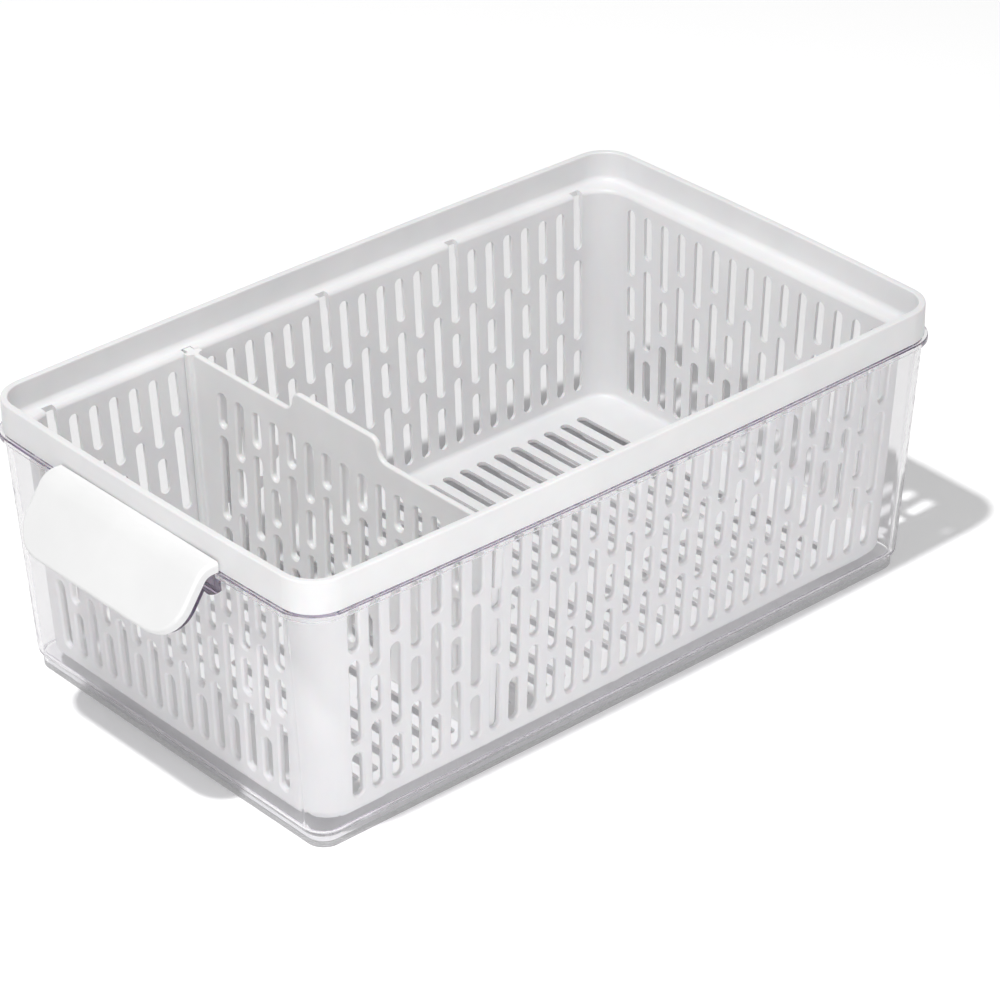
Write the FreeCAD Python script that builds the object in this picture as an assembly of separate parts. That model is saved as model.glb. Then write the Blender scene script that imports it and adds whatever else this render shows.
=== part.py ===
import FreeCAD, Part
import math
import os
from collections import namedtuple

# Two-part fridge bin: a clear outer bin with a pull handle, a slotted basket
# that hangs in it by its rim, and a slotted divider that drops into notches
# in the basket's ledge.
# Frame: +Z up, length along Y with the handle at -Y, origin at the centre of
# the bin's underside. All sizes are in millimetres.

Vector = FreeCAD.Vector

# ---- Basket rim: a vertical band with gently bowed sides -------------------
RIM_LENGTH = 340.0
RIM_WIDTH = 206.5
RIM_CORNER = 16.0
RIM_BOW_LONG = 2.2
RIM_BOW_SHORT = 1.8
BAND_HEIGHT = 14.2
BAND_WALL = 3.0
BAND_EDGE_ROUND = 0.7

# ---- Basket ledge inside the rim -------------------------------------------
LEDGE_RISE = 0.6
LEDGE_THICKNESS = 2.4
LEDGE_ROOT_FILLET = 2.6
LEDGE_EDGE_FILLET = 1.8

# ---- Basket wall and floor -------------------------------------------------
BASKET_TOP_WIDTH = 193.5
BASKET_TOP_LENGTH = 322.6
BASKET_TOP_CORNER = 17.0
BASKET_TOP_BOW_LONG = 2.2
BASKET_TOP_BOW_SHORT = 0.4
BASKET_FOOT_WIDTH = 180.0
BASKET_FOOT_LENGTH = 313.2
BASKET_FOOT_CORNER = 15.0
BASKET_FOOT_BOW_LONG = 0.4
BASKET_FOOT_BOW_SHORT = 0.4
BASKET_WALL = 2.4
BASKET_FLOOR = 2.4
BASKET_FOOT_FILLET = 3.0
BASKET_FLOOR_FILLET = 2.0

# ---- Feet under the basket -------------------------------------------------
FOOT_HEIGHT = 2.4
FOOT_INSET = 4.0
FOOT_WALL = 2.4
CORNER_FOOT_REACH = 30.0
MIDDLE_FOOT_WIDTH = 4.0

# ---- Slots -----------------------------------------------------------------
SLOT_WIDTH = 4.9
SLOT_EDGE_ROUND = 0.9
SLOT_MIDDLE_HEIGHT = 60.7
LONG_COLUMNS = 29
LONG_PITCH = 10.07
LONG_END_LEAN = 0.045
SHORT_COLUMNS = 15
SHORT_PITCH = 10.26
SHORT_END_LEAN = 0.054
SLOT_BOTTOM = 17.3
SLOT_TOP = 106.3
SLOT_BRIDGE = 5.1
LOW_BRIDGE_BOTTOM = 37.3
HIGH_BRIDGE_BOTTOM = 80.9
LOW_STAGGER = 11.1
HIGH_STAGGER = -11.1
FLOOR_COLUMNS = 27
FLOOR_ROWS = 3
FLOOR_SLOT_LENGTH = 46.0
FLOOR_ROW_GAP = 7.0

# ---- Notches in the ledge that take the divider ----------------------------
NOTCH_EVERY = 7
NOTCH_WIDTH = 5.1
NOTCH_PAST_WALL = 0.8

# ---- Clear bin -------------------------------------------------------------
BIN_HEIGHT = 111.8
BIN_WALL = 2.4
BIN_FLOOR = 2.4
BIN_FOOT_WIDTH = 189.3
BIN_FOOT_LENGTH = 322.8
BIN_FOOT_CORNER = 10.2
BIN_FOOT_BOW_LONG = 0.35
BIN_FOOT_BOW_SHORT = 0.2
BIN_TOP_CORNER = 15.0
BIN_TOP_INSET = 0.55
BIN_FOOT_FILLET = 4.4
BIN_FLOOR_FILLET = 1.4
BASE_HEIGHT = 4.8
BASE_INSET = 1.8
BASE_EDGE_ROUND = 0.8
FLANGE_REACH = 1.6
FLANGE_THICKNESS = 2.8
FLANGE_EDGE_ROUND = 0.6

# ---- Handle: a clear lug on the bin and the white cover on it --------------
HANDLE_RUN = 3.5
HANDLE_ANGLE = 55.6
LUG_WIDTH = 97.6
LUG_THICKNESS = 2.8
LUG_BEND_RADIUS = 4.5
LUG_STRAIGHT = 25.6
LUG_CORNER = 14.4
GUSSET_DROP = 6.5
GUSSET_REACH = 3.0
GUSSET_HOLLOW = 1.6
COVER_WIDTH = 100.0
COVER_THICKNESS = 4.4
COVER_STRAIGHT = 26.8
COVER_CORNER = 15.6
COVER_EDGE_ROUND = 1.5

# ---- Divider ---------------------------------------------------------------
DIVIDER_NOTCH = -1
DIVIDER_THICKNESS = 2.6
DIVIDER_EDGE_ROUND = 1.0
TAB_RISE = 9.2
TAB_FLAT = 44.0
TAB_CURVE = 9.6
END_FLANGE_WIDTH = 7.6
END_FLANGE_THICKNESS = 2.8
END_FLANGE_LIFT = 1.8
END_FLANGE_ROUND = 1.1
END_ROOT_FILLET = 1.2
TONGUE_WIDTH = 3.4
TONGUE_LENGTH = 28.0
TONGUE_END_ROUND = 1.5
DIVIDER_COLUMNS = 14
DIVIDER_PITCH = 11.15
DIVIDER_SLOT_WIDTH = 4.5
DIVIDER_SLOT_TOP = 101.2
DIVIDER_SLOT_BOTTOM = 19.8

# ---- Clearances ------------------------------------------------------------
SEAT_GAP = 0.3
FEET_TO_FLOOR_GAP = 5.1
COVER_GAP = 0.2
COVER_TO_BAND_GAP = 0.3
LEDGE_TO_BIN_GAP = 0.55
DIVIDER_TO_WALL_GAP = 0.35
DIVIDER_TO_FLOOR_GAP = 0.3
TONGUE_END_GAP = 0.4
OVERCUT = 1.0
ON_CURVE = 0.02

# ---- Heights and places that follow ----------------------------------------
BAND_FOOT = BIN_HEIGHT + SEAT_GAP
RIM_TOP = BAND_FOOT + BAND_HEIGHT
LEDGE_TOP = BAND_FOOT + LEDGE_RISE
LEDGE_FOOT = LEDGE_TOP - LEDGE_THICKNESS
FEET_BOTTOM = BIN_FLOOR + FEET_TO_FLOOR_GAP
BASKET_BOTTOM = FEET_BOTTOM + FOOT_HEIGHT
FLOOR_TOP = BASKET_BOTTOM + BASKET_FLOOR
LEDGE_INSET = BIN_TOP_INSET + BIN_WALL + LEDGE_TO_BIN_GAP

Outline = namedtuple("Outline", "half_width half_length corner bow_long bow_short")


def outline(width, length, corner, bow_long, bow_short):
    """Plan outline measured at the middle of its bowed sides."""
    return Outline(width / 2, length / 2, corner, bow_long, bow_short)


def inset(shape, distance):
    """The outline moved inwards by a distance, with the same curve of its sides."""
    half_width = shape.half_width - distance
    half_length = shape.half_length - distance
    bow_long = shape.bow_long * (half_length / shape.half_length) ** 2
    bow_short = shape.bow_short * (half_width / shape.half_width) ** 2
    return Outline(half_width, half_length, shape.corner - distance, bow_long, bow_short)


def blend(foot, top, share):
    """The outline part of the way from a foot outline to a top outline."""
    return Outline(*(low + (high - low) * share for low, high in zip(foot, top)))


def bow_radius(half_chord, bow):
    return (half_chord ** 2 + bow ** 2) / (2 * bow)


def side_place(half_across, half_chord, bow, along):
    """How far out a bowed side lies, at a distance along it from its middle."""
    radius = bow_radius(half_chord, bow)
    return half_across - radius + math.sqrt(radius ** 2 - along ** 2)


def long_side_x(shape, y):
    return side_place(shape.half_width, shape.half_length, shape.bow_long, y)


def short_side_y(shape, x):
    return side_place(shape.half_length, shape.half_width, shape.bow_short, x)


def corner_points(shape, z):
    """Tangent point on the long side, middle and tangent point on the short side."""
    long_radius = bow_radius(shape.half_length, shape.bow_long)
    short_radius = bow_radius(shape.half_width, shape.bow_short)
    long_centre = Vector(shape.half_width - long_radius, 0, z)
    short_centre = Vector(0, shape.half_length - short_radius, z)
    line = short_centre - long_centre
    apart = line.Length
    line.normalize()
    from_long = long_radius - shape.corner
    from_short = short_radius - shape.corner
    along = (from_long ** 2 - from_short ** 2 + apart ** 2) / (2 * apart)
    beside = math.sqrt(from_long ** 2 - along ** 2)
    centre = long_centre + line * along + Vector(-line.y, line.x, 0) * beside
    on_long = long_centre + (centre - long_centre) * (long_radius / from_long)
    on_short = short_centre + (centre - short_centre) * (short_radius / from_short)
    out = (on_long - centre) + (on_short - centre)
    out.normalize()
    return [on_long, centre + out * shape.corner, on_short]


def outline_wire(shape, z):
    corners = []
    for side_x, side_y in ((1, 1), (-1, 1), (-1, -1), (1, -1)):
        points = [Vector(p.x * side_x, p.y * side_y, z) for p in corner_points(shape, z)]
        corners.append(points if side_x * side_y > 0 else points[::-1])
    middles = [
        Vector(0, shape.half_length, z),
        Vector(-shape.half_width, 0, z),
        Vector(0, -shape.half_length, z),
        Vector(shape.half_width, 0, z),
    ]
    edges = []
    for corner, middle, following in zip(corners, middles, corners[1:] + corners[:1]):
        edges.append(Part.Arc(*corner).toShape())
        edges.append(Part.Arc(corner[2], middle, following[0]).toShape())
    return Part.Wire(edges)


def prism(shape, bottom, top):
    return Part.Face(outline_wire(shape, bottom)).extrude(Vector(0, 0, top - bottom))


def tapered(foot, foot_z, top, top_z):
    wires = [outline_wire(foot, foot_z), outline_wire(top, top_z)]
    return Part.makeLoft(wires, True, True)


def edges_on(solid, shape, z):
    """The solid's edges that follow an outline at a height."""
    wire = outline_wire(shape, z)
    found = []
    for edge in solid.Edges:
        points = [vertex.Point for vertex in edge.Vertexes] + [middle_of(edge)]
        if all(Part.Vertex(point).distToShape(wire)[0] < ON_CURVE for point in points):
            found.append(edge)
    return found


def middle_of(edge):
    return edge.valueAt((edge.FirstParameter + edge.LastParameter) / 2)


def passes(edge, points):
    """Whether an edge's middle is one of some points."""
    return any(middle_of(edge).distanceToPoint(point) < ON_CURVE for point in points)


def polygon_face(points):
    return Part.Face(Part.makePolygon(points + points[:1]))


def quarter_arc(start, corner, end):
    """The quarter round from start to end that replaces a square corner."""
    centre = start + end - corner
    middle = centre + (corner - centre).normalize() * centre.distanceToPoint(start)
    return Part.Arc(start, middle, end).toShape()


RIM = outline(RIM_WIDTH, RIM_LENGTH, RIM_CORNER, RIM_BOW_LONG, RIM_BOW_SHORT)
BASKET_TOP = outline(
    BASKET_TOP_WIDTH, BASKET_TOP_LENGTH, BASKET_TOP_CORNER, BASKET_TOP_BOW_LONG, BASKET_TOP_BOW_SHORT
)
BASKET_FOOT = outline(
    BASKET_FOOT_WIDTH, BASKET_FOOT_LENGTH, BASKET_FOOT_CORNER, BASKET_FOOT_BOW_LONG, BASKET_FOOT_BOW_SHORT
)
BIN_TOP = inset(RIM, BIN_TOP_INSET)._replace(corner=BIN_TOP_CORNER)
BIN_FOOT = outline(
    BIN_FOOT_WIDTH, BIN_FOOT_LENGTH, BIN_FOOT_CORNER, BIN_FOOT_BOW_LONG, BIN_FOOT_BOW_SHORT
)


def basket_outline(z):
    return blend(BASKET_FOOT, BASKET_TOP, (z - BASKET_BOTTOM) / (LEDGE_TOP - BASKET_BOTTOM))


def bin_outline(z):
    return blend(BIN_FOOT, BIN_TOP, (z - BASE_HEIGHT) / (BIN_HEIGHT - BASE_HEIGHT))


# ---- Slots -----------------------------------------------------------------

def slot_cutter(thickness, width, length):
    """A slot with rounded ends, cut through a wall, that flares at the wall's outer face.

    The wall's outer face is at x = 0 and its inner face at x = -thickness. The
    flare is a round edge in two facets.
    """
    half = width / 2
    straight = length / 2 - half
    facet = SLOT_EDGE_ROUND * math.tan(math.pi / 8)
    rest = SLOT_EDGE_ROUND - facet
    flare = [(-SLOT_EDGE_ROUND, half), (-rest, half + facet / 2), (0, half + SLOT_EDGE_ROUND)]
    rim = [(-thickness - OVERCUT, half)] + flare + [(OVERCUT, half + SLOT_EDGE_ROUND)]
    middle = [Vector(x, r, -straight) for x, r in rim] + [Vector(x, -r, -straight) for x, r in rim[::-1]]
    body = polygon_face(middle).extrude(Vector(0, 0, 2 * straight))
    section = [Vector(x, r, straight) for x, r in rim]
    section += [Vector(OVERCUT, 0, straight), Vector(-thickness - OVERCUT, 0, straight)]
    upper = polygon_face(section).revolve(Vector(0, 0, straight), Vector(1, 0, 0), 180)
    lower = upper.copy()
    lower.rotate(Vector(0, 0, 0), Vector(1, 0, 0), 180)
    return body.fuse([upper, lower])


def placed(cutter, place, outward, upward):
    """The cutter moved to a place, with its x axis outward and its z axis upward."""
    sideways = upward.cross(outward)
    turned = cutter.copy()
    turned.Placement = FreeCAD.Placement(place, FreeCAD.Rotation(outward, sideways, upward, "ZXY"))
    return turned


def column_spans(raised):
    """Bottom and top of each slot in a column, where alternate columns are staggered."""
    low = LOW_BRIDGE_BOTTOM + (LOW_STAGGER if raised else 0)
    high = HIGH_BRIDGE_BOTTOM + (HIGH_STAGGER if raised else 0)
    return [(SLOT_BOTTOM, low), (low + SLOT_BRIDGE, high), (high + SLOT_BRIDGE, SLOT_TOP)]


def column_place(number, columns, pitch, end_lean, z):
    """Distance along the wall of a column counted from the middle one."""
    lean = end_lean / (columns // 2)
    return number * (pitch + lean * (z - SLOT_MIDDLE_HEIGHT))


def long_wall_point(along, z):
    return Vector(long_side_x(basket_outline(z), along), along, z)


def short_wall_point(along, z):
    return Vector(-along, short_side_y(basket_outline(z), along), z)


def wall_slots(wall_point, columns, pitch, end_lean):
    cutters = []
    shapes = {}
    for number in range(-(columns // 2), columns // 2 + 1):
        for bottom, top in column_spans(number % 2 == 1):
            middle = (bottom + top) / 2
            low, centre, high = (
                wall_point(column_place(number, columns, pitch, end_lean, z), z)
                for z in (bottom, middle, top)
            )
            upward = (high - low).normalize()
            along = column_place(number, columns, pitch, end_lean, middle)
            across = wall_point(along + SLOT_WIDTH, middle) - wall_point(along - SLOT_WIDTH, middle)
            outward = across.cross(upward).normalize()
            span = (bottom, top)
            if span not in shapes:
                shapes[span] = slot_cutter(BASKET_WALL, SLOT_WIDTH, (high - low).Length)
            cutters.append(placed(shapes[span], centre, outward, upward))
    return cutters


def floor_slots():
    cutter = slot_cutter(BASKET_FLOOR, SLOT_WIDTH, FLOOR_SLOT_LENGTH)
    cutters = []
    for column in range(FLOOR_COLUMNS):
        number = column - FLOOR_COLUMNS // 2
        y = column_place(number, LONG_COLUMNS, LONG_PITCH, LONG_END_LEAN, BASKET_BOTTOM)
        for row in range(FLOOR_ROWS):
            x = (row - (FLOOR_ROWS - 1) / 2) * (FLOOR_SLOT_LENGTH + FLOOR_ROW_GAP)
            cutters.append(placed(cutter, Vector(x, y, BASKET_BOTTOM), Vector(0, 0, -1), Vector(1, 0, 0)))
    return cutters


# ---- Basket ----------------------------------------------------------------

def notch_y(notch, z):
    return column_place(notch * NOTCH_EVERY, LONG_COLUMNS, LONG_PITCH, LONG_END_LEAN, z)


def ledge_notches():
    """Slots through the ledge above every seventh column of a long wall."""
    bottom = SLOT_TOP - SLOT_WIDTH
    top = LEDGE_TOP + OVERCUT
    inner = inset(basket_outline(SLOT_TOP), BASKET_WALL + LEDGE_EDGE_FILLET)
    cutters = []
    reach = LONG_COLUMNS // 2 // NOTCH_EVERY
    for notch in range(-reach, reach + 1):
        start = long_side_x(inner, notch_y(notch, top))
        end = long_side_x(BASKET_TOP, notch_y(notch, top)) + NOTCH_PAST_WALL
        corners = []
        for z, side in ((bottom, -1), (bottom, 1), (top, 1), (top, -1)):
            corners.append(Vector(start, notch_y(notch, z) + side * NOTCH_WIDTH / 2, z))
        cutters.append(polygon_face(corners).extrude(Vector(end - start, 0, 0)))
    return cutters


def basket_feet():
    """Ring segments under the four corners and a stub under each long side."""
    bottom = FEET_BOTTOM
    top = BASKET_BOTTOM + BASKET_FLOOR / 2
    outer = inset(BASKET_FOOT, FOOT_INSET)
    ring = prism(outer, bottom, top).cut(prism(inset(outer, FOOT_WALL), bottom, top))
    height = top - bottom
    stub_start = Vector(-outer.half_width, -MIDDLE_FOOT_WIDTH / 2, bottom)
    keep = [Part.makeBox(2 * outer.half_width, MIDDLE_FOOT_WIDTH, height, stub_start)]
    for side_x in (-1, 1):
        for side_y in (-1, 1):
            corner_x = side_x * outer.half_width - (CORNER_FOOT_REACH if side_x > 0 else 0)
            corner_y = side_y * outer.half_length - (CORNER_FOOT_REACH if side_y > 0 else 0)
            corner = Vector(corner_x, corner_y, bottom)
            keep.append(Part.makeBox(CORNER_FOOT_REACH, CORNER_FOOT_REACH, height, corner))
    return ring.common(Part.makeCompound(keep))


def basket_body():
    """Rim band, ledge, wall and floor, before the slots are cut."""
    wall = tapered(BASKET_FOOT, BASKET_BOTTOM, BASKET_TOP, LEDGE_TOP)
    wall = wall.makeFillet(BASKET_FOOT_FILLET, edges_on(wall, BASKET_FOOT, BASKET_BOTTOM))
    band = prism(RIM, BAND_FOOT, RIM_TOP)
    step = prism(inset(RIM, LEDGE_INSET), LEDGE_FOOT, LEDGE_TOP)
    above = LEDGE_TOP + OVERCUT
    inner_foot = inset(basket_outline(FLOOR_TOP), BASKET_WALL)
    hollow = tapered(inner_foot, FLOOR_TOP, inset(basket_outline(above), BASKET_WALL), above)
    hollow = hollow.makeFillet(BASKET_FLOOR_FILLET, edges_on(hollow, inner_foot, FLOOR_TOP))
    inner_rim = inset(RIM, BAND_WALL)
    mouth = prism(inner_rim, LEDGE_TOP, RIM_TOP + OVERCUT)
    body = wall.fuse([band, step]).cut(mouth).cut(hollow)
    top_edges = edges_on(body, RIM, RIM_TOP) + edges_on(body, inner_rim, RIM_TOP)
    body = body.makeFillet(BAND_EDGE_ROUND, top_edges)
    body = body.makeFillet(LEDGE_ROOT_FILLET, edges_on(body, inner_rim, LEDGE_TOP))
    ledge_edge = inset(BASKET_TOP, BASKET_WALL)
    body = body.makeFillet(LEDGE_EDGE_FILLET, edges_on(body, ledge_edge, LEDGE_TOP))
    return body.fuse(basket_feet())


def colander_basket():
    """One quarter is slotted and mirrored, as the basket is symmetric both ways."""
    origin = Vector(0, 0, 0)
    quarter = basket_body().common(Part.makeBox(RIM_WIDTH, RIM_LENGTH, 2 * RIM_TOP, origin))
    cutters = wall_slots(long_wall_point, LONG_COLUMNS, LONG_PITCH, LONG_END_LEAN)
    cutters += wall_slots(short_wall_point, SHORT_COLUMNS, SHORT_PITCH, SHORT_END_LEAN)
    cutters += ledge_notches() + floor_slots()
    near = [cutter for cutter in cutters if cutter.BoundBox.XMax > 0 and cutter.BoundBox.YMax > 0]
    quarter = quarter.cut(Part.makeCompound(near))
    across = quarter.mirror(origin, Vector(1, 0, 0))
    along = quarter.mirror(origin, Vector(0, 1, 0))
    return quarter.fuse([across, along, across.mirror(origin, Vector(0, 1, 0))])


# ---- Clear bin and its handle ----------------------------------------------

HANDLE_CENTRE = Vector(0, -RIM_LENGTH / 2 - HANDLE_RUN, BIN_HEIGHT - LUG_BEND_RADIUS)
HANDLE_DOWN = Vector(0, -math.cos(math.radians(HANDLE_ANGLE)), -math.sin(math.radians(HANDLE_ANGLE)))
HANDLE_OUT = Vector(0, HANDLE_DOWN.z, -HANDLE_DOWN.y)
HANDLE_HALFWAY = (HANDLE_OUT + Vector(0, 0, 1)).normalize()


def bent_plate(root_y, outer_radius, thickness, straight, width, corner):
    """A plate that runs out level, bends down over the handle and has two round lower corners."""
    centre = HANDLE_CENTRE - Vector(width / 2, 0, 0)
    top = Vector(0, 0, 1)
    sides = []
    for radius in (outer_radius, outer_radius - thickness):
        root = Vector(centre.x, root_y, centre.z + radius)
        bend = [centre + way * radius for way in (top, HANDLE_HALFWAY, HANDLE_OUT)]
        sides.append((root, bend, bend[2] + HANDLE_DOWN * straight))
    (root, bend, end), (inner_root, inner_bend, inner_end) = sides
    edges = [
        Part.makeLine(root, bend[0]),
        Part.Arc(*bend).toShape(),
        Part.makeLine(bend[2], end),
        Part.makeLine(end, inner_end),
        Part.makeLine(inner_end, inner_bend[2]),
        Part.Arc(*inner_bend[::-1]).toShape(),
        Part.makeLine(inner_bend[0], inner_root),
        Part.makeLine(inner_root, root),
    ]
    plate = Part.Face(Part.Wire(edges)).extrude(Vector(width, 0, 0))
    lower = [(end + inner_end) / 2, (end + inner_end) / 2 + Vector(width, 0, 0)]
    corner_edges = [edge for edge in plate.Edges if passes(edge, lower)]
    return plate.makeFillet(corner, corner_edges)


def gusset():
    """The hollow-curved web under the lug, where it leaves the bin's wall."""
    inner_radius = LUG_BEND_RADIUS - LUG_THICKNESS
    low_z = BIN_HEIGHT - FLANGE_THICKNESS - GUSSET_DROP
    wall_y = -short_side_y(bin_outline(low_z), 0)
    inside_y = wall_y + BIN_WALL / 2
    bend = HANDLE_CENTRE + HANDLE_OUT * inner_radius
    tip = bend + HANDLE_DOWN * GUSSET_REACH
    foot = Vector(0, wall_y, low_z)
    chord = tip - foot
    hollow = Vector(0, chord.z, -chord.y).normalize() * GUSSET_HOLLOW
    curve = Part.Arc(foot, (foot + tip) / 2 - hollow, tip).toShape()
    behind = bend + HANDLE_OUT * (LUG_THICKNESS / 2)
    level = HANDLE_CENTRE.z + inner_radius + LUG_THICKNESS / 2
    points = [tip, behind, Vector(0, HANDLE_CENTRE.y, level), Vector(0, inside_y, level)]
    points += [Vector(0, inside_y, low_z), foot]
    lines = [Part.makeLine(start, end) for start, end in zip(points, points[1:])]
    section = Part.Face(Part.Wire([curve] + lines))
    section.translate(Vector(-LUG_WIDTH / 2, 0, 0))
    return section.extrude(Vector(LUG_WIDTH, 0, 0))


def stepped_base():
    """The low base under the bin's rounded foot, and the hollow inside it."""
    outer = inset(BIN_FOOT, BASE_INSET)
    base = prism(outer, 0, BASE_HEIGHT + BIN_FLOOR)
    base = base.makeFillet(BASE_EDGE_ROUND, edges_on(base, outer, 0))
    return base, prism(inset(outer, BIN_WALL), BIN_FLOOR, BASE_HEIGHT + BIN_FLOOR + OVERCUT)


def clear_bin():
    shell = tapered(BIN_FOOT, BASE_HEIGHT, BIN_TOP, BIN_HEIGHT)
    shell = shell.makeFillet(BIN_FOOT_FILLET, edges_on(shell, BIN_FOOT, BASE_HEIGHT))
    base, base_hollow = stepped_base()
    rim = inset(RIM, -FLANGE_REACH)
    flange = prism(rim, BIN_HEIGHT - FLANGE_THICKNESS, BIN_HEIGHT)
    flange_edges = edges_on(flange, rim, BIN_HEIGHT) + edges_on(flange, rim, BIN_HEIGHT - FLANGE_THICKNESS)
    flange = flange.makeFillet(FLANGE_EDGE_ROUND, flange_edges)
    root_y = -short_side_y(BIN_TOP, LUG_WIDTH / 2) + BIN_WALL / 2
    lug = bent_plate(root_y, LUG_BEND_RADIUS, LUG_THICKNESS, LUG_STRAIGHT, LUG_WIDTH, LUG_CORNER)
    above = BIN_HEIGHT + OVERCUT
    step_top = BASE_HEIGHT + BIN_FLOOR
    inner_foot = inset(bin_outline(step_top), BIN_WALL)
    hollow = tapered(inner_foot, step_top, inset(bin_outline(above), BIN_WALL), above)
    hollow = hollow.makeFillet(BIN_FLOOR_FILLET, edges_on(hollow, inner_foot, step_top))
    return shell.fuse([base, flange, lug, gusset()]).cut(hollow.fuse(base_hollow))


def handle_cover():
    """The white plate over the lug, with its outer edges rounded all round."""
    outer_radius = LUG_BEND_RADIUS + COVER_GAP + COVER_THICKNESS
    root_y = -RIM_LENGTH / 2 - COVER_TO_BAND_GAP
    plate = bent_plate(root_y, outer_radius, COVER_THICKNESS, COVER_STRAIGHT, COVER_WIDTH, COVER_CORNER)
    outer_edges = []
    for edge in plate.Edges:
        points = [vertex.Point for vertex in edge.Vertexes]
        depths = [abs(outer_radius - cover_depth(point)) for point in points]
        across = abs(points[0].x - points[-1].x) > ON_CURVE and abs(points[0].x + points[-1].x) < ON_CURVE
        lowest = min(point.z for point in points) < plate.BoundBox.ZMin + COVER_THICKNESS
        if max(depths) < ON_CURVE and (not across or lowest):
            outer_edges.append(edge)
    return plate.makeFillet(COVER_EDGE_ROUND, outer_edges)


def cover_depth(point):
    """Distance of a point from the handle's bend axis, or from its flats carried on."""
    from_centre = point - Vector(point.x, HANDLE_CENTRE.y, HANDLE_CENTRE.z)
    if from_centre.y > 0:
        return from_centre.z
    if from_centre.dot(HANDLE_DOWN) > 0:
        return from_centre.dot(HANDLE_OUT)
    return from_centre.Length


# ---- Divider ---------------------------------------------------------------

DIVIDER_BOTTOM = FLOOR_TOP + DIVIDER_TO_FLOOR_GAP
TONGUE_BOTTOM = LEDGE_TOP - TONGUE_LENGTH
DIVIDER_Y = notch_y(DIVIDER_NOTCH, (TONGUE_BOTTOM + LEDGE_TOP) / 2)


def divider_end_x(z):
    """Half the divider's width at a height, just clear of the basket's inner wall."""
    far_y = abs(DIVIDER_Y) + END_FLANGE_WIDTH / 2
    return long_side_x(inset(basket_outline(z), BASKET_WALL), far_y) - DIVIDER_TO_WALL_GAP


def tongue_end_x(z):
    """The tongue's outer edge, just proud of the wall and clear of the notch's end."""
    return long_side_x(basket_outline(z), DIVIDER_Y) + NOTCH_PAST_WALL - TONGUE_END_GAP


def across_y(face, thickness):
    """A flat piece from its face in the XZ plane, centred on the divider's plane."""
    face = face.copy()
    face.translate(Vector(0, DIVIDER_Y - thickness / 2, 0))
    return face.extrude(Vector(0, thickness, 0))


def tab_curve(side):
    """The S-curve from the low top edge up to the raised tab, on one side."""
    start = Vector(side * (TAB_FLAT / 2 + TAB_CURVE), 0, LEDGE_TOP)
    end = Vector(side * TAB_FLAT / 2, 0, LEDGE_TOP + TAB_RISE)
    middle = (start + end) / 2
    half_run = TAB_CURVE / 2
    half_rise = TAB_RISE / 2
    radius = (half_run ** 2 + half_rise ** 2) / (2 * half_rise)
    half_turn = math.asin(half_run / radius) / 2
    swing = Vector(-side * math.sin(half_turn), 0, -math.cos(half_turn)) * radius
    low = start + Vector(0, 0, radius) + swing
    high = end - Vector(0, 0, radius) - swing
    return [Part.Arc(start, low, middle).toShape(), Part.Arc(middle, high, end).toShape()]


def divider_plate():
    left, right = tab_curve(-1), tab_curve(1)
    end_low, end_high = (divider_end_x(z) - END_FLANGE_THICKNESS / 2 for z in (DIVIDER_BOTTOM, LEDGE_TOP))
    corners = [
        Vector(TAB_FLAT / 2 + TAB_CURVE, 0, LEDGE_TOP),
        Vector(end_high, 0, LEDGE_TOP),
        Vector(end_low, 0, DIVIDER_BOTTOM),
        Vector(-end_low, 0, DIVIDER_BOTTOM),
        Vector(-end_high, 0, LEDGE_TOP),
        Vector(-TAB_FLAT / 2 - TAB_CURVE, 0, LEDGE_TOP),
    ]
    tab_top = LEDGE_TOP + TAB_RISE
    edges = [Part.makeLine(start, end) for start, end in zip(corners, corners[1:])] + left
    edges.append(Part.makeLine(Vector(-TAB_FLAT / 2, 0, tab_top), Vector(TAB_FLAT / 2, 0, tab_top)))
    edges += right[::-1]
    return across_y(Part.Face(Part.Wire(Part.__sortEdges__(edges))), DIVIDER_THICKNESS)


def end_flange():
    """The upright bead that bears on the basket's wall, with its root curved into the plate."""
    heights = (DIVIDER_BOTTOM + END_FLANGE_LIFT, LEDGE_TOP)
    low, high = (Vector(divider_end_x(z), DIVIDER_Y, z) for z in heights)
    half_width = END_FLANGE_WIDTH / 2
    half_plate = DIVIDER_THICKNESS / 2
    face_x = -END_FLANGE_THICKNESS
    edges = []
    ends = []
    for side in (1, -1):
        brow, root = (Vector(face_x, side * y, 0) for y in (half_width, half_plate))
        outer = Vector(0, side * half_width, 0)
        over = brow + Vector(END_FLANGE_ROUND, 0, 0)
        under = brow - Vector(0, side * END_FLANGE_ROUND, 0)
        above = root + Vector(0, side * END_ROOT_FILLET, 0)
        along = root - Vector(END_ROOT_FILLET, 0, 0)
        edges += [Part.makeLine(outer, over), quarter_arc(over, brow, under)]
        edges += [Part.makeLine(under, above), quarter_arc(above, root, along)]
        ends.append((outer, along))
    edges += [Part.makeLine(*pair) for pair in zip(*ends)]
    profile = Part.Face(Part.Wire(Part.__sortEdges__(edges)))
    profile.translate(low)
    return profile.extrude(high - low)


def tongue():
    """The upright rib that stands in the ledge's notch and in the slot below it."""
    heights = (TONGUE_BOTTOM, LEDGE_TOP)
    tip = [Vector(tongue_end_x(z), 0, z) for z in heights]
    root = [Vector(divider_end_x(z) - END_FLANGE_THICKNESS, 0, z) for z in heights]
    rib = across_y(polygon_face(tip + root[::-1]), TONGUE_WIDTH)
    foot = (tip[0] + root[0]) / 2
    foot_sides = [foot + Vector(0, DIVIDER_Y + side * TONGUE_WIDTH / 2, 0) for side in (-1, 1)]
    return rib.makeFillet(TONGUE_END_ROUND, [edge for edge in rib.Edges if passes(edge, foot_sides)])


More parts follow.
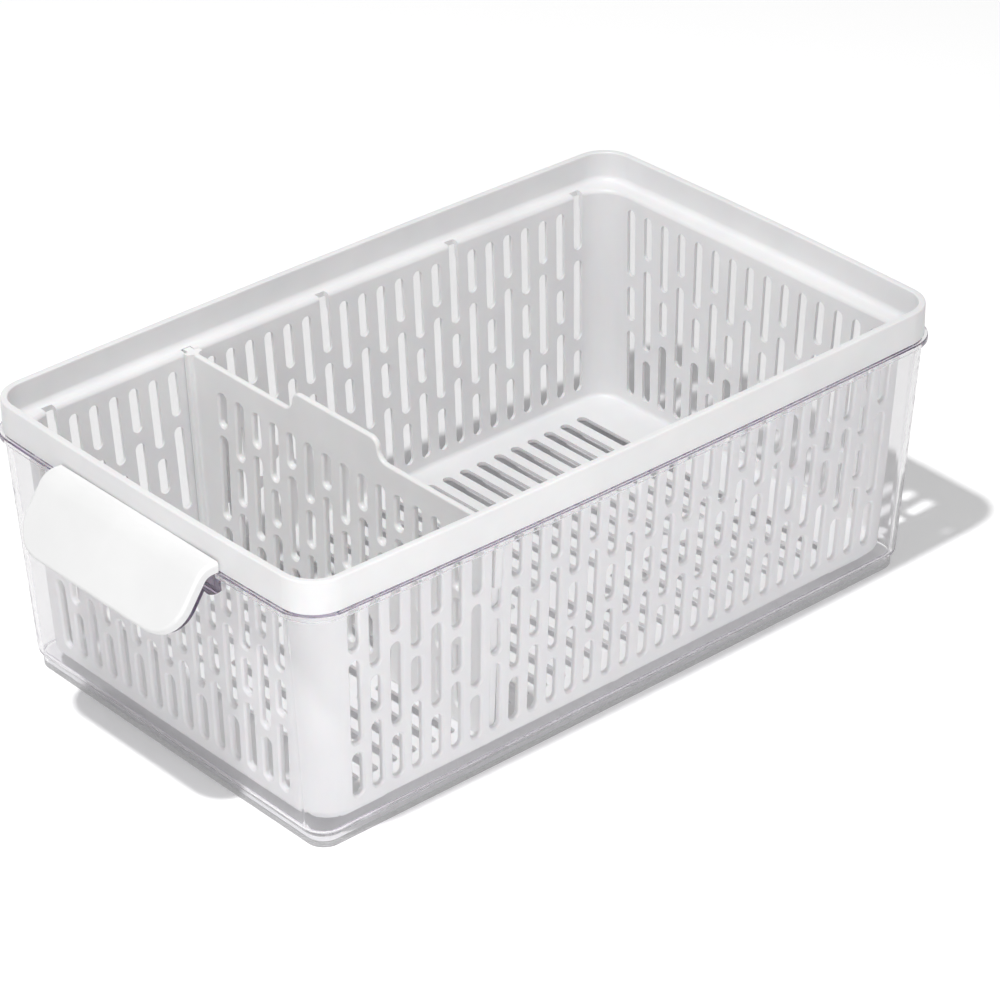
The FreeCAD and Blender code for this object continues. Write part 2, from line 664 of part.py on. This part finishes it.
def divider_slots():
    cutters = []
    shapes = {}
    for column in range(DIVIDER_COLUMNS):
        x = (column - (DIVIDER_COLUMNS - 1) / 2) * DIVIDER_PITCH
        for bottom, top in column_spans(column % 2 == 1):
            low = max(bottom, DIVIDER_SLOT_BOTTOM)
            high = min(top, DIVIDER_SLOT_TOP)
            if (low, high) not in shapes:
                shapes[low, high] = slot_cutter(DIVIDER_THICKNESS, DIVIDER_SLOT_WIDTH, high - low)
            place = Vector(x, DIVIDER_Y - DIVIDER_THICKNESS / 2, (low + high) / 2)
            cutters.append(placed(shapes[low, high], place, Vector(0, -1, 0), Vector(0, 0, 1)))
    return cutters


def divider():
    plate = divider_plate()
    top_edges = []
    for edge in plate.Edges:
        heights = [vertex.Z for vertex in edge.Vertexes]
        along = abs(edge.Vertexes[0].Y - edge.Vertexes[-1].Y) < ON_CURVE
        if min(heights) > LEDGE_TOP - ON_CURVE and along:
            top_edges.append(edge)
    plate = plate.makeFillet(DIVIDER_EDGE_ROUND, top_edges)
    plate = plate.cut(Part.makeCompound(divider_slots()))
    end = end_flange().fuse(tongue())
    return plate.fuse([end, end.mirror(Vector(0, 0, 0), Vector(1, 0, 0))])


# ---- The four pieces -------------------------------------------------------

PIECES = {
    "clear_bin": clear_bin,
    "handle_cover": handle_cover,
    "colander_basket": colander_basket,
    "divider": divider,
}

os.makedirs("parts", exist_ok=True)
for name, make in PIECES.items():
    piece = make()
    print(name, "solids", len(piece.Solids), "valid", piece.isValid(), "volume", round(piece.Volume))
    piece.exportStep(os.path.join("parts", name + ".step"))
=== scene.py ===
import math

import bpy
from mathutils import Matrix, Vector

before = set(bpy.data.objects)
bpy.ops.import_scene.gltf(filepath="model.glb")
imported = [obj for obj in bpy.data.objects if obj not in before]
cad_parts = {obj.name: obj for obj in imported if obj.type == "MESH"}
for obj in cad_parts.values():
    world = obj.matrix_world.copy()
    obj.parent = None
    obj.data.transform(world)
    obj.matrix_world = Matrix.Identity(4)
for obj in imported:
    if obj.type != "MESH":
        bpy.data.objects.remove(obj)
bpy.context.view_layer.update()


# ---- Slotted basket --------------------------------------------------------
# One injection moulding in opaque white polypropylene. Its rim band sits on
# the bin's flange, its ledge carries the divider, and its walls and floor are
# slotted so that what it holds can drain and breathe.

BASKET_WHITE = (0.83, 0.83, 0.835)
BASKET_SHADE = (0.79, 0.79, 0.80)
BASKET_ROUGHNESS = (0.30, 0.40)
BASKET_CLOUD_SCALE = 30.0
BASKET_CLOUD_DETAIL = 3.0
BASKET_CLOUD_SPREAD = (0.35, 0.65)
BASKET_GRAIN_SCALE = 1400.0
BASKET_GRAIN_DETAIL = 2.0
BASKET_GRAIN_DEPTH = 0.00002
BASKET_SINK_SCALE = 14.0
BASKET_SINK_DETAIL = 1.0
BASKET_SINK_DEPTH = 0.0003
BASKET_GLOW = 0.12
BASKET_GLOW_REACH = 0.003


def link(tree, source, output, target, socket):
    tree.links.new(source.outputs[output], target.inputs[socket])


def noise_at(tree, place, scale, detail):
    """A noise that is fixed to the piece."""
    noise = tree.nodes.new("ShaderNodeTexNoise")
    noise.inputs["Scale"].default_value = scale
    noise.inputs["Detail"].default_value = detail
    link(tree, place, "Object", noise, "Vector")
    return noise


def relief(tree, noise, depth):
    """Low relief that follows a noise, with its depth in metres."""
    bump = tree.nodes.new("ShaderNodeBump")
    bump.inputs["Distance"].default_value = depth
    link(tree, noise, "Fac", bump, "Height")
    return bump


def uneven_gloss(tree, noise, roughness, shader):
    """Roughness that follows a noise from one value to another."""
    gloss = tree.nodes.new("ShaderNodeMapRange")
    gloss.inputs["To Min"].default_value = roughness[0]
    gloss.inputs["To Max"].default_value = roughness[1]
    link(tree, noise, "Fac", gloss, "Value")
    link(tree, gloss, "Result", shader, "Roughness")


def moulded_plastic(name, white, shade, roughness, grain_scale, grain_depth, sink_scale, sink_depth):
    """Opaque moulded plastic: faint clouding, uneven gloss, tool grain and slow sink marks."""
    material = bpy.data.materials.new(name)
    material.use_nodes = True
    tree = material.node_tree
    shader = tree.nodes["Principled BSDF"]
    place = tree.nodes.new("ShaderNodeTexCoord")

    cloud = noise_at(tree, place, BASKET_CLOUD_SCALE, BASKET_CLOUD_DETAIL)
    tint = tree.nodes.new("ShaderNodeValToRGB")
    tint.color_ramp.elements[0].position = BASKET_CLOUD_SPREAD[0]
    tint.color_ramp.elements[0].color = (*shade, 1.0)
    tint.color_ramp.elements[1].position = BASKET_CLOUD_SPREAD[1]
    tint.color_ramp.elements[1].color = (*white, 1.0)
    link(tree, cloud, "Fac", tint, "Fac")
    link(tree, tint, "Color", shader, "Base Color")
    uneven_gloss(tree, cloud, roughness, shader)

    sink = relief(tree, noise_at(tree, place, sink_scale, BASKET_SINK_DETAIL), sink_depth)
    grain = relief(tree, noise_at(tree, place, grain_scale, BASKET_GRAIN_DETAIL), grain_depth)
    link(tree, sink, "Normal", grain, "Normal")
    link(tree, grain, "Normal", shader, "Normal")
    return material


def let_light_in(material, weight, reach):
    """Lets light go a little way into the plastic, up to a reach in metres."""
    shader = material.node_tree.nodes["Principled BSDF"]
    shader.inputs["Subsurface Weight"].default_value = weight
    shader.inputs["Subsurface Scale"].default_value = reach


def finish_node(name, material):
    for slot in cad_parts[name].material_slots:
        slot.material = material


basket_plastic = moulded_plastic(
    "basket_white_plastic", BASKET_WHITE, BASKET_SHADE, BASKET_ROUGHNESS,
    BASKET_GRAIN_SCALE, BASKET_GRAIN_DEPTH, BASKET_SINK_SCALE, BASKET_SINK_DEPTH,
)
let_light_in(basket_plastic, BASKET_GLOW, BASKET_GLOW_REACH)
finish_node("colander_basket", basket_plastic)


# ---- Divider ---------------------------------------------------------------
# A slotted plate in the same white polypropylene, a little glossier. Its end
# tongues hang in a pair of notches in the basket's ledge.

DIVIDER_WHITE = (0.84, 0.84, 0.84)
DIVIDER_SHADE = (0.80, 0.80, 0.80)
DIVIDER_ROUGHNESS = (0.28, 0.38)

divider_plastic = moulded_plastic(
    "divider_white_plastic", DIVIDER_WHITE, DIVIDER_SHADE, DIVIDER_ROUGHNESS,
    BASKET_GRAIN_SCALE, BASKET_GRAIN_DEPTH, BASKET_SINK_SCALE, BASKET_SINK_DEPTH,
)
let_light_in(divider_plastic, BASKET_GLOW, BASKET_GLOW_REACH)
finish_node("divider", divider_plastic)


# ---- Handle cover ----------------------------------------------------------
# A separate satin white moulding with a finer grain, bent over the bin's
# clear lug and fixed to it. Its face is plain and nearly flat.

COVER_WHITE = (0.83, 0.83, 0.83)
COVER_SHADE = (0.80, 0.80, 0.80)
COVER_ROUGHNESS = (0.38, 0.46)
COVER_GRAIN_SCALE = 2200.0
COVER_GRAIN_DEPTH = 0.00003
COVER_SINK_DEPTH = 0.0001

cover_plastic = moulded_plastic(
    "cover_white_plastic", COVER_WHITE, COVER_SHADE, COVER_ROUGHNESS,
    COVER_GRAIN_SCALE, COVER_GRAIN_DEPTH, BASKET_SINK_SCALE, COVER_SINK_DEPTH,
)
finish_node("handle_cover", cover_plastic)


# ---- Clear bin -------------------------------------------------------------
# One clear, hard, glossy moulding: walls, floor, the flange round its mouth
# and the lug under the handle cover. Thick edges look grey and faintly violet.

CLEAR_TINT = (0.995, 0.993, 0.995)
CLEAR_TRANSMISSION = 1.0
CLEAR_IOR = 1.53
CLEAR_ROUGHNESS = (0.0, 0.03)
CLEAR_EDGE_COLOUR = (0.80, 0.78, 0.805)
CLEAR_EDGE_DENSITY = 30.0
CLEAR_SHADOW = (0.97, 0.97, 0.975)
CLEAR_TRAPPED = (0.66, 0.60, 0.71)
CLEAR_TRAPPED_AFTER = 4.5
CLEAR_RIPPLE_SCALE = 9.0
CLEAR_RIPPLE_DETAIL = 2.0
CLEAR_RIPPLE_DEPTH = 0.00008


def either(tree, first, second):
    """The higher of two 0 or 1 values."""
    higher = tree.nodes.new("ShaderNodeMath")
    higher.operation = "MAXIMUM"
    tree.links.new(first, higher.inputs[0])
    tree.links.new(second, higher.inputs[1])
    return higher.outputs["Value"]


def let_through(tree, colour):
    """A surface that rays pass straight through, tinted on the way."""
    opening = tree.nodes.new("ShaderNodeBsdfTransparent")
    opening.inputs["Color"].default_value = (*colour, 1.0)
    return opening.outputs["BSDF"]


def surface_for(tree, wanted, surface, otherwise):
    """One surface for the rays that a 0 or 1 value picks, and another for the rest."""
    chosen = tree.nodes.new("ShaderNodeMixShader")
    tree.links.new(wanted, chosen.inputs["Fac"])
    tree.links.new(otherwise, chosen.inputs[1])
    tree.links.new(surface, chosen.inputs[2])
    return chosen.outputs["Shader"]


def clear_plastic():
    """Clear plastic with faint ripples, tinted thick edges and a pale shadow.

    Light that is caught inside it goes straight out after a few bounces,
    with a violet tint, because otherwise it would turn black.
    """
    material = bpy.data.materials.new("clear_bin_plastic")
    material.use_nodes = True
    tree = material.node_tree
    shader = tree.nodes["Principled BSDF"]
    shader.inputs["Base Color"].default_value = (*CLEAR_TINT, 1.0)
    shader.inputs["Transmission Weight"].default_value = CLEAR_TRANSMISSION
    shader.inputs["IOR"].default_value = CLEAR_IOR

    place = tree.nodes.new("ShaderNodeTexCoord")
    ripple = noise_at(tree, place, CLEAR_RIPPLE_SCALE, CLEAR_RIPPLE_DETAIL)
    uneven_gloss(tree, ripple, CLEAR_ROUGHNESS, shader)
    link(tree, relief(tree, ripple, CLEAR_RIPPLE_DEPTH), "Normal", shader, "Normal")

    ray = tree.nodes.new("ShaderNodeLightPath")
    late = tree.nodes.new("ShaderNodeMath")
    late.operation = "GREATER_THAN"
    late.inputs[1].default_value = CLEAR_TRAPPED_AFTER
    link(tree, ray, "Ray Depth", late, 0)
    trapped = let_through(tree, CLEAR_TRAPPED)
    body = surface_for(tree, late.outputs["Value"], trapped, shader.outputs["BSDF"])
    soft = either(tree, ray.outputs["Is Shadow Ray"], ray.outputs["Is Diffuse Ray"])
    whole = surface_for(tree, soft, let_through(tree, CLEAR_SHADOW), body)
    output = tree.nodes["Material Output"]
    tree.links.new(whole, output.inputs["Surface"])

    edges = tree.nodes.new("ShaderNodeVolumeAbsorption")
    edges.inputs["Color"].default_value = (*CLEAR_EDGE_COLOUR, 1.0)
    edges.inputs["Density"].default_value = CLEAR_EDGE_DENSITY
    link(tree, edges, "Volume", output, "Volume")
    return material


finish_node("clear_bin", clear_plastic())


# ---- Floor -----------------------------------------------------------------
# A plain pale floor that the bin stands on. It shows white to the camera and a
# little less bright through the clear plastic, and keeps the object's shadow.

FLOOR_HALF_SIZE = 6.0
FLOOR_COLOUR = (0.90, 0.90, 0.90)
FLOOR_SEEN = (1.25, 1.25, 1.25)
FLOOR_THROUGH = (0.95, 0.95, 0.95)
FLOOR_ROUGHNESS = 0.9
FLOOR_SHINE = 0.0


def seen_in_plastic(tree, ray):
    """1 for what shows in or through a glossy or clear surface, and 0 elsewhere."""
    return either(tree, ray.outputs["Is Glossy Ray"], ray.outputs["Is Transmission Ray"])


def colour_for(tree, wanted, colour):
    """A mix that shows one colour where a 0 or 1 value says so, and its A elsewhere."""
    chosen = tree.nodes.new("ShaderNodeMix")
    chosen.data_type = "RGBA"
    chosen.inputs["B"].default_value = (*colour, 1.0)
    tree.links.new(wanted, chosen.inputs["Factor"])
    return chosen


bpy.ops.mesh.primitive_plane_add(size=2 * FLOOR_HALF_SIZE, location=(0, 0, 0))
floor = bpy.context.object
floor.name = "floor"
floor_paint = bpy.data.materials.new("floor_paint")
floor_paint.use_nodes = True
floor_tree = floor_paint.node_tree
floor_shader = floor_tree.nodes["Principled BSDF"]
floor_shader.inputs["Roughness"].default_value = FLOOR_ROUGHNESS
floor_shader.inputs["Specular IOR Level"].default_value = FLOOR_SHINE
floor_ray = floor_tree.nodes.new("ShaderNodeLightPath")
floor_through = colour_for(floor_tree, seen_in_plastic(floor_tree, floor_ray), FLOOR_THROUGH)
floor_through.inputs["A"].default_value = (*FLOOR_COLOUR, 1.0)
floor_seen = colour_for(floor_tree, floor_ray.outputs["Is Camera Ray"], FLOOR_SEEN)
link(floor_tree, floor_through, "Result", floor_seen, "A")
link(floor_tree, floor_seen, "Result", floor_shader, "Base Color")
floor.data.materials.append(floor_paint)


# ---- Light -----------------------------------------------------------------
# A small lamp high above the front throws the shadow behind the bin, and a low
# soft lamp fills its right long side. The surround is white, and its upper part
# is darker to the camera and in reflections, so that the clear edges show.

LAMP_AIM = Vector((0.0, 0.0, 0.05))
HIGH_LAMP_PLACE = Vector((0.22, -0.753, 2.096))
HIGH_LAMP_SIZE = 0.10
HIGH_LAMP_POWER = 30.0
SOFT_LAMP_PLACE = Vector((0.62, -0.30, 0.22))
SOFT_LAMP_SIZE = 0.5
SOFT_LAMP_POWER = 1.4
SURROUND_WHITE = (1.0, 1.0, 1.0)
SURROUND_LIGHT = 0.39
SURROUND_SEEN_LOW = 1.0
SURROUND_SEEN_HIGH = 0.25
SURROUND_FADE = (0.35, 0.60)


def hang_lamp(name, place, size, power):
    data = bpy.data.lights.new(name, "AREA")
    data.shape = "DISK"
    data.size = size
    data.energy = power
    lamp = bpy.data.objects.new(name, data)
    lamp.location = place
    lamp.rotation_euler = (LAMP_AIM - place).to_track_quat("-Z", "Y").to_euler()
    bpy.context.scene.collection.objects.link(lamp)


hang_lamp("high_lamp", HIGH_LAMP_PLACE, HIGH_LAMP_SIZE, HIGH_LAMP_POWER)
hang_lamp("soft_lamp", SOFT_LAMP_PLACE, SOFT_LAMP_SIZE, SOFT_LAMP_POWER)

surround = bpy.data.worlds.new("surround")
surround.use_nodes = True
bpy.context.scene.world = surround
sky_tree = surround.node_tree
sky = sky_tree.nodes["Background"]
sky.inputs["Color"].default_value = (*SURROUND_WHITE, 1.0)
sky_place = sky_tree.nodes.new("ShaderNodeTexCoord")
sky_height = sky_tree.nodes.new("ShaderNodeSeparateXYZ")
link(sky_tree, sky_place, "Generated", sky_height, "Vector")
sky_fade = sky_tree.nodes.new("ShaderNodeMapRange")
sky_fade.inputs["From Min"].default_value = SURROUND_FADE[0]
sky_fade.inputs["From Max"].default_value = SURROUND_FADE[1]
sky_fade.inputs["To Min"].default_value = SURROUND_SEEN_LOW
sky_fade.inputs["To Max"].default_value = SURROUND_SEEN_HIGH
link(sky_tree, sky_height, "Z", sky_fade, "Value")
sky_ray = sky_tree.nodes.new("ShaderNodeLightPath")
sky_seen = either(sky_tree, sky_ray.outputs["Is Camera Ray"], seen_in_plastic(sky_tree, sky_ray))
sky_level = sky_tree.nodes.new("ShaderNodeMix")
sky_level.data_type = "FLOAT"
sky_level.inputs["A"].default_value = SURROUND_LIGHT
link(sky_tree, sky_fade, "Result", sky_level, "B")
sky_tree.links.new(sky_seen, sky_level.inputs["Factor"])
link(sky_tree, sky_level, "Result", sky, "Strength")


# ---- Camera ----------------------------------------------------------------
# A long lens from the front right, about thirty degrees above the floor.
# Azimuth is counted from the front (-Y) round towards the right side (+X).

CAMERA_AZIMUTH = math.radians(48.6758)
CAMERA_HEIGHT = math.radians(30.5635)
CAMERA_ROLL = math.radians(-0.4879)
CAMERA_DISTANCE = 1.7538
CAMERA_TARGET = Vector((0.00383, 0.01133, 0.05119))
CAMERA_LENS = 152.32
CAMERA_REACH = 50.0
SENSOR_WIDTH = 36.0

back = Vector((
    math.sin(CAMERA_AZIMUTH) * math.cos(CAMERA_HEIGHT),
    -math.cos(CAMERA_AZIMUTH) * math.cos(CAMERA_HEIGHT),
    math.sin(CAMERA_HEIGHT),
))
level = (-back).cross(Vector((0, 0, 1))).normalized()
upright = level.cross(-back)
right = level * math.cos(CAMERA_ROLL) + upright * math.sin(CAMERA_ROLL)
up = upright * math.cos(CAMERA_ROLL) - level * math.sin(CAMERA_ROLL)
camera_data = bpy.data.cameras.new("camera")
camera_data.lens = CAMERA_LENS
camera_data.sensor_width = SENSOR_WIDTH
camera_data.clip_end = CAMERA_REACH
camera = bpy.data.objects.new("camera", camera_data)
turn = Matrix((right, up, back)).transposed().to_4x4()
camera.matrix_world = Matrix.Translation(CAMERA_TARGET + back * CAMERA_DISTANCE) @ turn
bpy.context.scene.collection.objects.link(camera)
bpy.context.scene.camera = camera

bpy.context.scene.view_settings.view_transform = "Standard"
